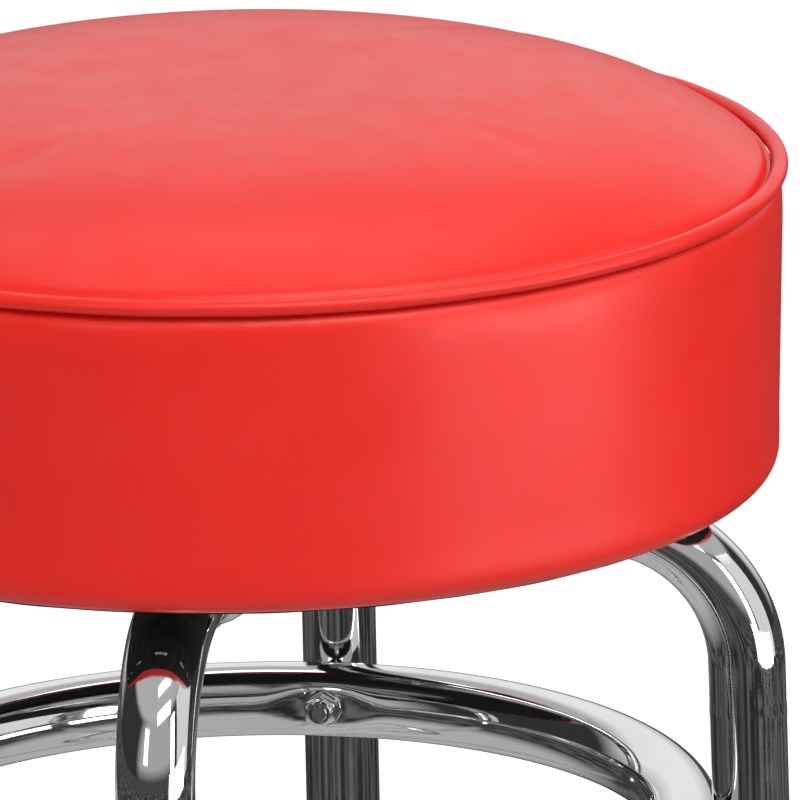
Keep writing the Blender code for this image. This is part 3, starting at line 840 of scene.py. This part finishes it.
# ---- seat: welt ----
# A cord 3 mm thick covered in the same vinyl, sewn into the seam so that it stands proud of it.
# Its two ends meet at the back, where one laps over the other.
WELT_RADIUS = 0.0027
WELT_CENTRE = 0.1764
WELT_SEWN_Z = WELT_Z - 0.0010   # the seam pulls the cord down a little
nothing_picked()
bpy.ops.mesh.primitive_torus_add(major_segments=384, minor_segments=20, major_radius=WELT_CENTRE,
                                 minor_radius=WELT_RADIUS, location=(0, 0, WELT_SEWN_Z))
welt = open_piece("seat_cover_welt")
face_outwards()
for vert in welt.data.vertices:
    angle = atan2(vert.co.y, vert.co.x)
    ring = toward(angle)
    middle = ring * WELT_CENTRE + Vector((0, 0, WELT_SEWN_Z))
    plump = 1 + 0.05 * noise.noise(ring * 12.0) + 0.02 * noise.noise(ring * 60.0)
    from_lap = (angle - radians(80)) * WELT_CENTRE
    plump += 0.10 * exp(-(from_lap / 0.004) ** 2)
    wander = Vector((0, 0, 0.00035 * noise.noise(ring * 5.0 + Vector((1.0, 0, 0)))))
    vert.co = middle + (vert.co - middle) * plump + wander
fit(welt, Matrix(), "seat", vinyl, "red_vinyl", "seat_welt", angle=80)

# ---- seat: dust cover ----
# A ring of thin black non-woven cloth closes the underside between the swivel and the cover's hem.
# Its black is partly the cloth's own and partly painted shade, for the line of shadow along the
# seat's lower edge.
# It lies flat on the board, steps down over the hem's pleats and is stapled through them.
STAPLES = 36
DUST_COVER_INNER = 0.092
DUST_COVER_OUTER = 0.1675
CLOTH = 0.0005
ON_BOARD_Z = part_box("seat_board")[0][2] - 0.0003
ON_HEM_Z = SEAT_BOTTOM_Z - 0.0016


def black_cloth_and_shade_finish():
    """Spun black polypropylene, its black partly painted shade for the seat's underside: matt,
    with a fine print of pressed dots and cloudy fibres.
    """
    cloth, tree, shader, place = new_finish("black_cloth", (0.012, 0.012, 0.013), 0.9)
    shader.inputs["Specular IOR Level"].default_value = 0.25
    tint(tree, shader, noise_on(tree, place, 180.0, 5.0),
         0.35, (0.008, 0.008, 0.009), 0.7, (0.022, 0.022, 0.024))
    dots = put(tree, "ShaderNodeTexVoronoi", {"Vector": place, "Scale": 900.0})
    tree.links.new(raised(tree, dots.outputs["Distance"], 0.0001, 0.6), shader.inputs["Normal"])
    return cloth


nothing_picked()
bpy.ops.mesh.primitive_circle_add(vertices=8 * STAPLES, radius=DUST_COVER_INNER,
                                  location=(0, 0, ON_BOARD_Z), fill_type="NOTHING")
dust_cover = open_piece("seat_dust_cover")
bpy.ops.mesh.select_all(action="SELECT")
draw_rings([
    (DUST_COVER_INNER, ON_BOARD_Z), (0.105, ON_BOARD_Z), (0.120, ON_BOARD_Z), (0.135, ON_BOARD_Z),
    (0.1425, ON_BOARD_Z), (0.1455, ON_BOARD_Z - 0.0009), (0.1485, ON_HEM_Z + 0.0003),
    (0.1515, ON_HEM_Z), (0.1560, ON_HEM_Z + 0.0002), (0.1600, ON_HEM_Z + 0.0006),
    (0.1640, ON_HEM_Z + 0.0010), (DUST_COVER_OUTER, ON_HEM_Z + 0.0013)])
face_outwards()
for vert in dust_cover.data.vertices:
    angle = atan2(vert.co.y, vert.co.x)
    ring = toward(angle)
    past_pleats = hypot(vert.co.x, vert.co.y) - PLEATS_FROM
    free = max(0.0, 1 - abs(past_pleats) / 0.009)
    between_staples = 0.5 - 0.5 * cos(STAPLES * angle)
    vert.co.z -= free * between_staples * (0.0003 + 0.0002 * noise.noise(ring * 11.0))
    vert.co += ring * max(0.0, past_pleats) * 0.12 * noise.noise(ring * 7.0)
work(dust_cover, "SOLIDIFY", thickness=CLOTH, offset=0)
bpy.ops.object.mode_set(mode="EDIT")
face_outwards()
fit(dust_cover, Matrix(), "seat", black_cloth_and_shade_finish(), "black_plastic")

# ---- seat: staples ----
# A ring of galvanised wire staples, 10 mm wide, is driven through the dust cover and the hem into
# the board. Their legs are short of the board's far side, and their crowns sit pressed in.
STAPLE_HALF = 0.0048
STAPLE_LINE = 0.1585
nothing_picked()
bpy.ops.mesh.primitive_cube_add(size=1, location=(0, 0, 0),
                                scale=(0.0012, 2 * STAPLE_HALF, 0.0006))
staple = open_piece("staple")
for side in (1, -1):
    pick(lambda co: side * co.y > STAPLE_HALF - 0.0001)
    draw_out((0, side * 0.0004, 0.0003))
    draw_out((0, side * 0.0001, 0.0014))
face_outwards()
work(staple, "BEVEL", width=0.0002, segments=1)
set_of_staples = []
for number in range(STAPLES):
    heading = 2 * pi * number / STAPLES
    lean = 0.25 * noise.noise(Vector((number * 1.7, 0.3, 0)))
    reach = STAPLE_LINE + 0.0014 * noise.noise(Vector((number * 2.3, 4.1, 0)))
    one = copy_of(staple, f"staple_{number}")
    one.data.transform(Matrix.Rotation(heading, 4, "Z") @ Matrix.Translation(
        (reach, 0, ON_HEM_Z - CLOTH)) @ Matrix.Rotation(lean, 4, "Z"))
    set_of_staples.append(one)
bpy.data.objects.remove(staple)
pick_pieces(*set_of_staples)
bpy.ops.object.join()
set_of_staples[0].name = set_of_staples[0].data.name = "seat_staples"
fit(set_of_staples[0], Matrix(), "seat", zinc, "zinc_steel")
bpy.data.objects.remove(seat_form)

# ---- levelling glides ----
# A black nylon plug closes each leg. A zinc-plated M8 stem screws through it, with a collar to
# turn it by, and ends in the socket of a nylon foot that takes up the leg's lean.


def nylon_finish():
    """Black moulded nylon: a fine spark-eroded texture, rubbed a little grey at its edges."""
    nylon, tree, shader, place = new_finish("black_plastic", (0.02, 0.02, 0.02), 0.5)
    texture = noise_on(tree, place, 1500.0, 2.0)
    edges = put(tree, "ShaderNodeNewGeometry").outputs["Pointiness"]
    tint(tree, shader, edges, 0.50, (0.016, 0.016, 0.017), 0.62, (0.060, 0.060, 0.062))
    tree.links.new(spread(tree, texture, 0.42, 0.60), shader.inputs["Roughness"])
    tree.links.new(raised(tree, texture, 0.00004, 0.6), shader.inputs["Normal"])
    return nylon


nylon = nylon_finish()
STEM_RADIUS = 0.0040
BORE = STEM_RADIUS + 0.0003
PLUG_RADIUS = TUBE_RADIUS - TUBE_WALL - 0.0003
FOOT_TOP = 0.0071
FOOT_BELOW_LEG = 0.009

plug = turn_up("glide_plug", 48, [
    (BORE, -0.0028), (0.0119, -0.0028), (0.0125, -0.0025), (TUBE_RADIUS, -0.0019),
    (TUBE_RADIUS, -0.0003), (PLUG_RADIUS, -0.0003), (PLUG_RADIUS, 0.0210),
    (PLUG_RADIUS - 0.0010, 0.0220), (BORE, 0.0220), (BORE, -0.0028)])
face_outwards()
stem = turn_up("glide_screw", 36, [
    (0.0034, -0.0112), (STEM_RADIUS, -0.0106), (STEM_RADIUS, -0.0066), (0.0072, -0.0066),
    (0.0075, -0.0063), (0.0075, -0.0035), (0.0072, -0.0032),
    *thread(STEM_RADIUS, -0.0031, 0.0190), (0.0034, 0.0200)])
face_outwards()
foot_pad = turn_up("glide_pad", 64, [
    (0.0143, 0.0), (0.0150, 0.0003), (0.0155, 0.0011), (0.0155, 0.0022), (0.0151, 0.0034),
    (0.0140, 0.0046), (0.0112, 0.0066), (0.0104, FOOT_TOP), (0.0052, FOOT_TOP),
    (0.0046, FOOT_TOP - 0.0006), (0.0046, 0.0028)])
face_outwards()
for number, heading in enumerate(LEG_HEADINGS, 1):
    out = toward(heading)
    down = out * sin(SPLAY) - Vector((0, 0, cos(SPLAY)))
    end = out * leg_axis(TUBE_END_Z) + Vector((0, 0, TUBE_END_Z))
    fit(copy_of(plug, f"glide_plug_{number}"), standing(end, -down),
        "frame", nylon, "black_plastic", f"glide_insert_{number}")
    fit(copy_of(stem, f"glide_screw_{number}"), standing(end, -down),
        f"glide_{number}", zinc, "zinc_steel", f"glide_stem_{number}")
    under = end + down * FOOT_BELOW_LEG
    fit(copy_of(foot_pad, f"glide_pad_{number}"), Matrix.Translation((under.x, under.y, 0)),
        f"glide_{number}", nylon, "black_plastic", f"glide_foot_{number}")
for pattern in (plug, stem, foot_pad):
    bpy.data.objects.remove(pattern)

# ---- floor ----
# A white sheet, large enough for every view, that glows: evenly white to the camera, evenly as
# bounce light on the stool, and in reflections as a painted pool of light, bright round the stool
# and fading away from it in patches. It is clear from below, so that the stool's underside can be
# looked at.


def floor_finish():
    paper = bpy.data.materials.new("floor_paper")
    paper.use_nodes = True
    tree = paper.node_tree
    tree.nodes.clear()
    place = put(tree, "ShaderNodeTexCoord").outputs["Object"]
    far = put(tree, "ShaderNodeVectorMath", {0: place}, operation="LENGTH").outputs["Value"]
    # Painted light: in reflections the floor glows bright round the stool and fades with distance.
    painted_light_pool = spread(tree, far, 0.50, 0.0, 0.55, 1.15)
    painted_light_patches = spread(tree, noise_on(tree, place, 2.6, 3.0), 0.025, 0.15, 0.42, 0.66)
    fade = put(tree, "ShaderNodeMath", {0: painted_light_pool, 1: painted_light_patches}, operation="MAXIMUM").outputs[0]
    sheet_white = put(tree, "ShaderNodeBsdfDiffuse", {"Color": (0.86, 0.86, 0.86, 1)})
    glow = put(tree, "ShaderNodeEmission", {"Color": (1, 1, 1, 1), "Strength": 0.80})
    seen = put(tree, "ShaderNodeAddShader", {0: sheet_white.outputs[0], 1: glow.outputs[0]})
    mirrored = put(tree, "ShaderNodeEmission", {"Color": (1, 1, 1, 1), "Strength": fade})
    bounce = put(tree, "ShaderNodeEmission", {"Color": (1, 1, 1, 1), "Strength": 0.62})
    path = put(tree, "ShaderNodeLightPath")
    lights = put(tree, "ShaderNodeMixShader", {0: path.outputs["Is Diffuse Ray"],
                                               1: mirrored.outputs[0], 2: bounce.outputs[0]})
    by_eye = put(tree, "ShaderNodeMixShader", {0: path.outputs["Is Camera Ray"],
                                               1: lights.outputs[0], 2: seen.outputs[0]})
    clear = put(tree, "ShaderNodeBsdfTransparent")
    below = put(tree, "ShaderNodeNewGeometry").outputs["Backfacing"]
    out = put(tree, "ShaderNodeMixShader", {0: below, 1: by_eye.outputs[0], 2: clear.outputs[0]})
    put(tree, "ShaderNodeOutputMaterial", {"Surface": out.outputs[0]})
    return paper


nothing_picked()
bpy.ops.mesh.primitive_plane_add(size=80)
floor = bpy.context.object
floor.name = "floor"
floor.data.materials.append(floor_finish())

# ---- light ----
# A pale studio. Large soft lights on the viewer's side give the vinyl its even shading; the chrome
# mirrors a white wall behind, a grey ceiling, a dark room in front and a few bright panels.
VIEWER_HEADING = radians(-79.27)
AIM = Vector((0, 0, 0.70))
studio = bpy.data.worlds.new("studio")
bpy.context.scene.world = studio
studio.use_nodes = True
tree = studio.node_tree
tree.nodes.clear()
direction = put(tree, "ShaderNodeTexCoord").outputs["Generated"]
away = put(tree, "ShaderNodeVectorMath", {0: direction, 1: -toward(VIEWER_HEADING)},
           operation="DOT_PRODUCT")
away = away.outputs["Value"]
height = put(tree, "ShaderNodeSeparateXYZ", {0: direction}).outputs["Z"]
wall = spread(tree, away, 0.0, 1.0, 0.50, 0.80)
wall = put(tree, "ShaderNodeMath", {0: wall, 1: spread(tree, height, 0.60, 0.95, 0.05, 0.25)},
           operation="MULTIPLY").outputs[0]
front = put(tree, "ShaderNodeMath", {0: spread(tree, away, 1.0, 0.0, -0.72, -0.50),
                                     1: spread(tree, height, 0.0, 0.44, -0.04, 0.14)},
            operation="MULTIPLY").outputs[0]
ceiling = spread(tree, height, 0.035, 0.50, 0.54, 0.62)
room = put(tree, "ShaderNodeMath", {0: wall, 1: front}, operation="MAXIMUM").outputs[0]
dark = put(tree, "ShaderNodeMath", {0: room, 1: ceiling}, operation="MAXIMUM").outputs[0]
path = put(tree, "ShaderNodeLightPath")
mirrored = put(tree, "ShaderNodeBackground", {"Color": (1, 1, 1, 1), "Strength": dark})
ambient = put(tree, "ShaderNodeBackground", {"Color": (1, 1, 1, 1), "Strength": 0.14})
white = put(tree, "ShaderNodeBackground", {"Color": (1, 1, 1, 1), "Strength": 1.0})
lit = put(tree, "ShaderNodeMixShader", {0: path.outputs["Is Diffuse Ray"], 1: mirrored.outputs[0],
                                        2: ambient.outputs[0]})
mixed = put(tree, "ShaderNodeMixShader", {0: path.outputs["Is Camera Ray"], 1: lit.outputs[0],
                                          2: white.outputs[0]})
put(tree, "ShaderNodeOutputWorld", {"Surface": mixed.outputs[0]})


def soft_box(name, turn, lift, reach, wide, tall, glow, shades):
    """A panel aimed at the stool, turned from the viewer's heading and lifted, in degrees.

    It either shades matt surfaces or shows in bright ones; glow is its brightness."""
    box = bpy.data.lights.new(name, "AREA")
    box.shape = "RECTANGLE"
    box.size, box.size_y = wide, tall
    box.energy = glow * pi * wide * tall
    lamp = bpy.data.objects.new(name, box)
    bpy.context.scene.collection.objects.link(lamp)
    heading, rise = VIEWER_HEADING + radians(turn), radians(lift)
    arm = toward(heading) * cos(rise) + Vector((0, 0, sin(rise)))
    lamp.location = AIM + arm * reach
    lamp.rotation_euler = (-arm).to_track_quat("-Z", "Y").to_euler()
    lamp.visible_camera = False
    lamp.visible_diffuse = shades
    lamp.visible_glossy = not shades


for name, turn, lift, glow in (("fill_left", -60, 35, 3.5), ("key", 10, 42, 4.9),
                               ("key_right", 45, 38, 5.2), ("fill_right", 90, 26, 3.5)):
    soft_box(name, turn, lift, 2.6, 1.3, 1.3, glow, True)
for name, turn, lift, reach, wide, tall, glow in (
        ("panel_above", 180, 76, 2.3, 2.0, 1.5, 1.3),
        ("panel_right", 75, 10, 1.5, 1.0, 1.3, 0.75),
        ("panel_low", 60, -9, 2.45, 2.1, 0.56, 4.0),
        ("panel_high", 20, 55, 2.6, 1.3, 0.32, 3.5),
        ("panel_middle", 20, 37, 2.6, 1.5, 0.38, 3.5),
        ("panel_left", -28, 18, 2.6, 0.5, 1.0, 1.6),
        ("strip_right", 46, 10, 2.6, 0.45, 1.7, 3.5)):
    soft_box(name, turn, lift, reach, wide, tall, glow, False)

# ---- camera ----
# A long lens, a little above the seat, looking down past its edge at the top of the frame.
lens = bpy.data.cameras.new("camera")
lens.sensor_width = 36.0
lens.lens = 536.6
lens.clip_end = 200.0
camera = bpy.data.objects.new("camera", lens)
bpy.context.scene.collection.objects.link(camera)
camera.matrix_world = Matrix(((0.98563, -0.02816, 0.16653, 0.7017),
                              (0.16799, 0.26562, -0.94933, -3.7044),
                              (-0.0175, 0.96367, 0.26654, 1.7191),
                              (0, 0, 0, 1)))
bpy.context.scene.camera = camera
bpy.context.scene.view_settings.view_transform = "Standard"
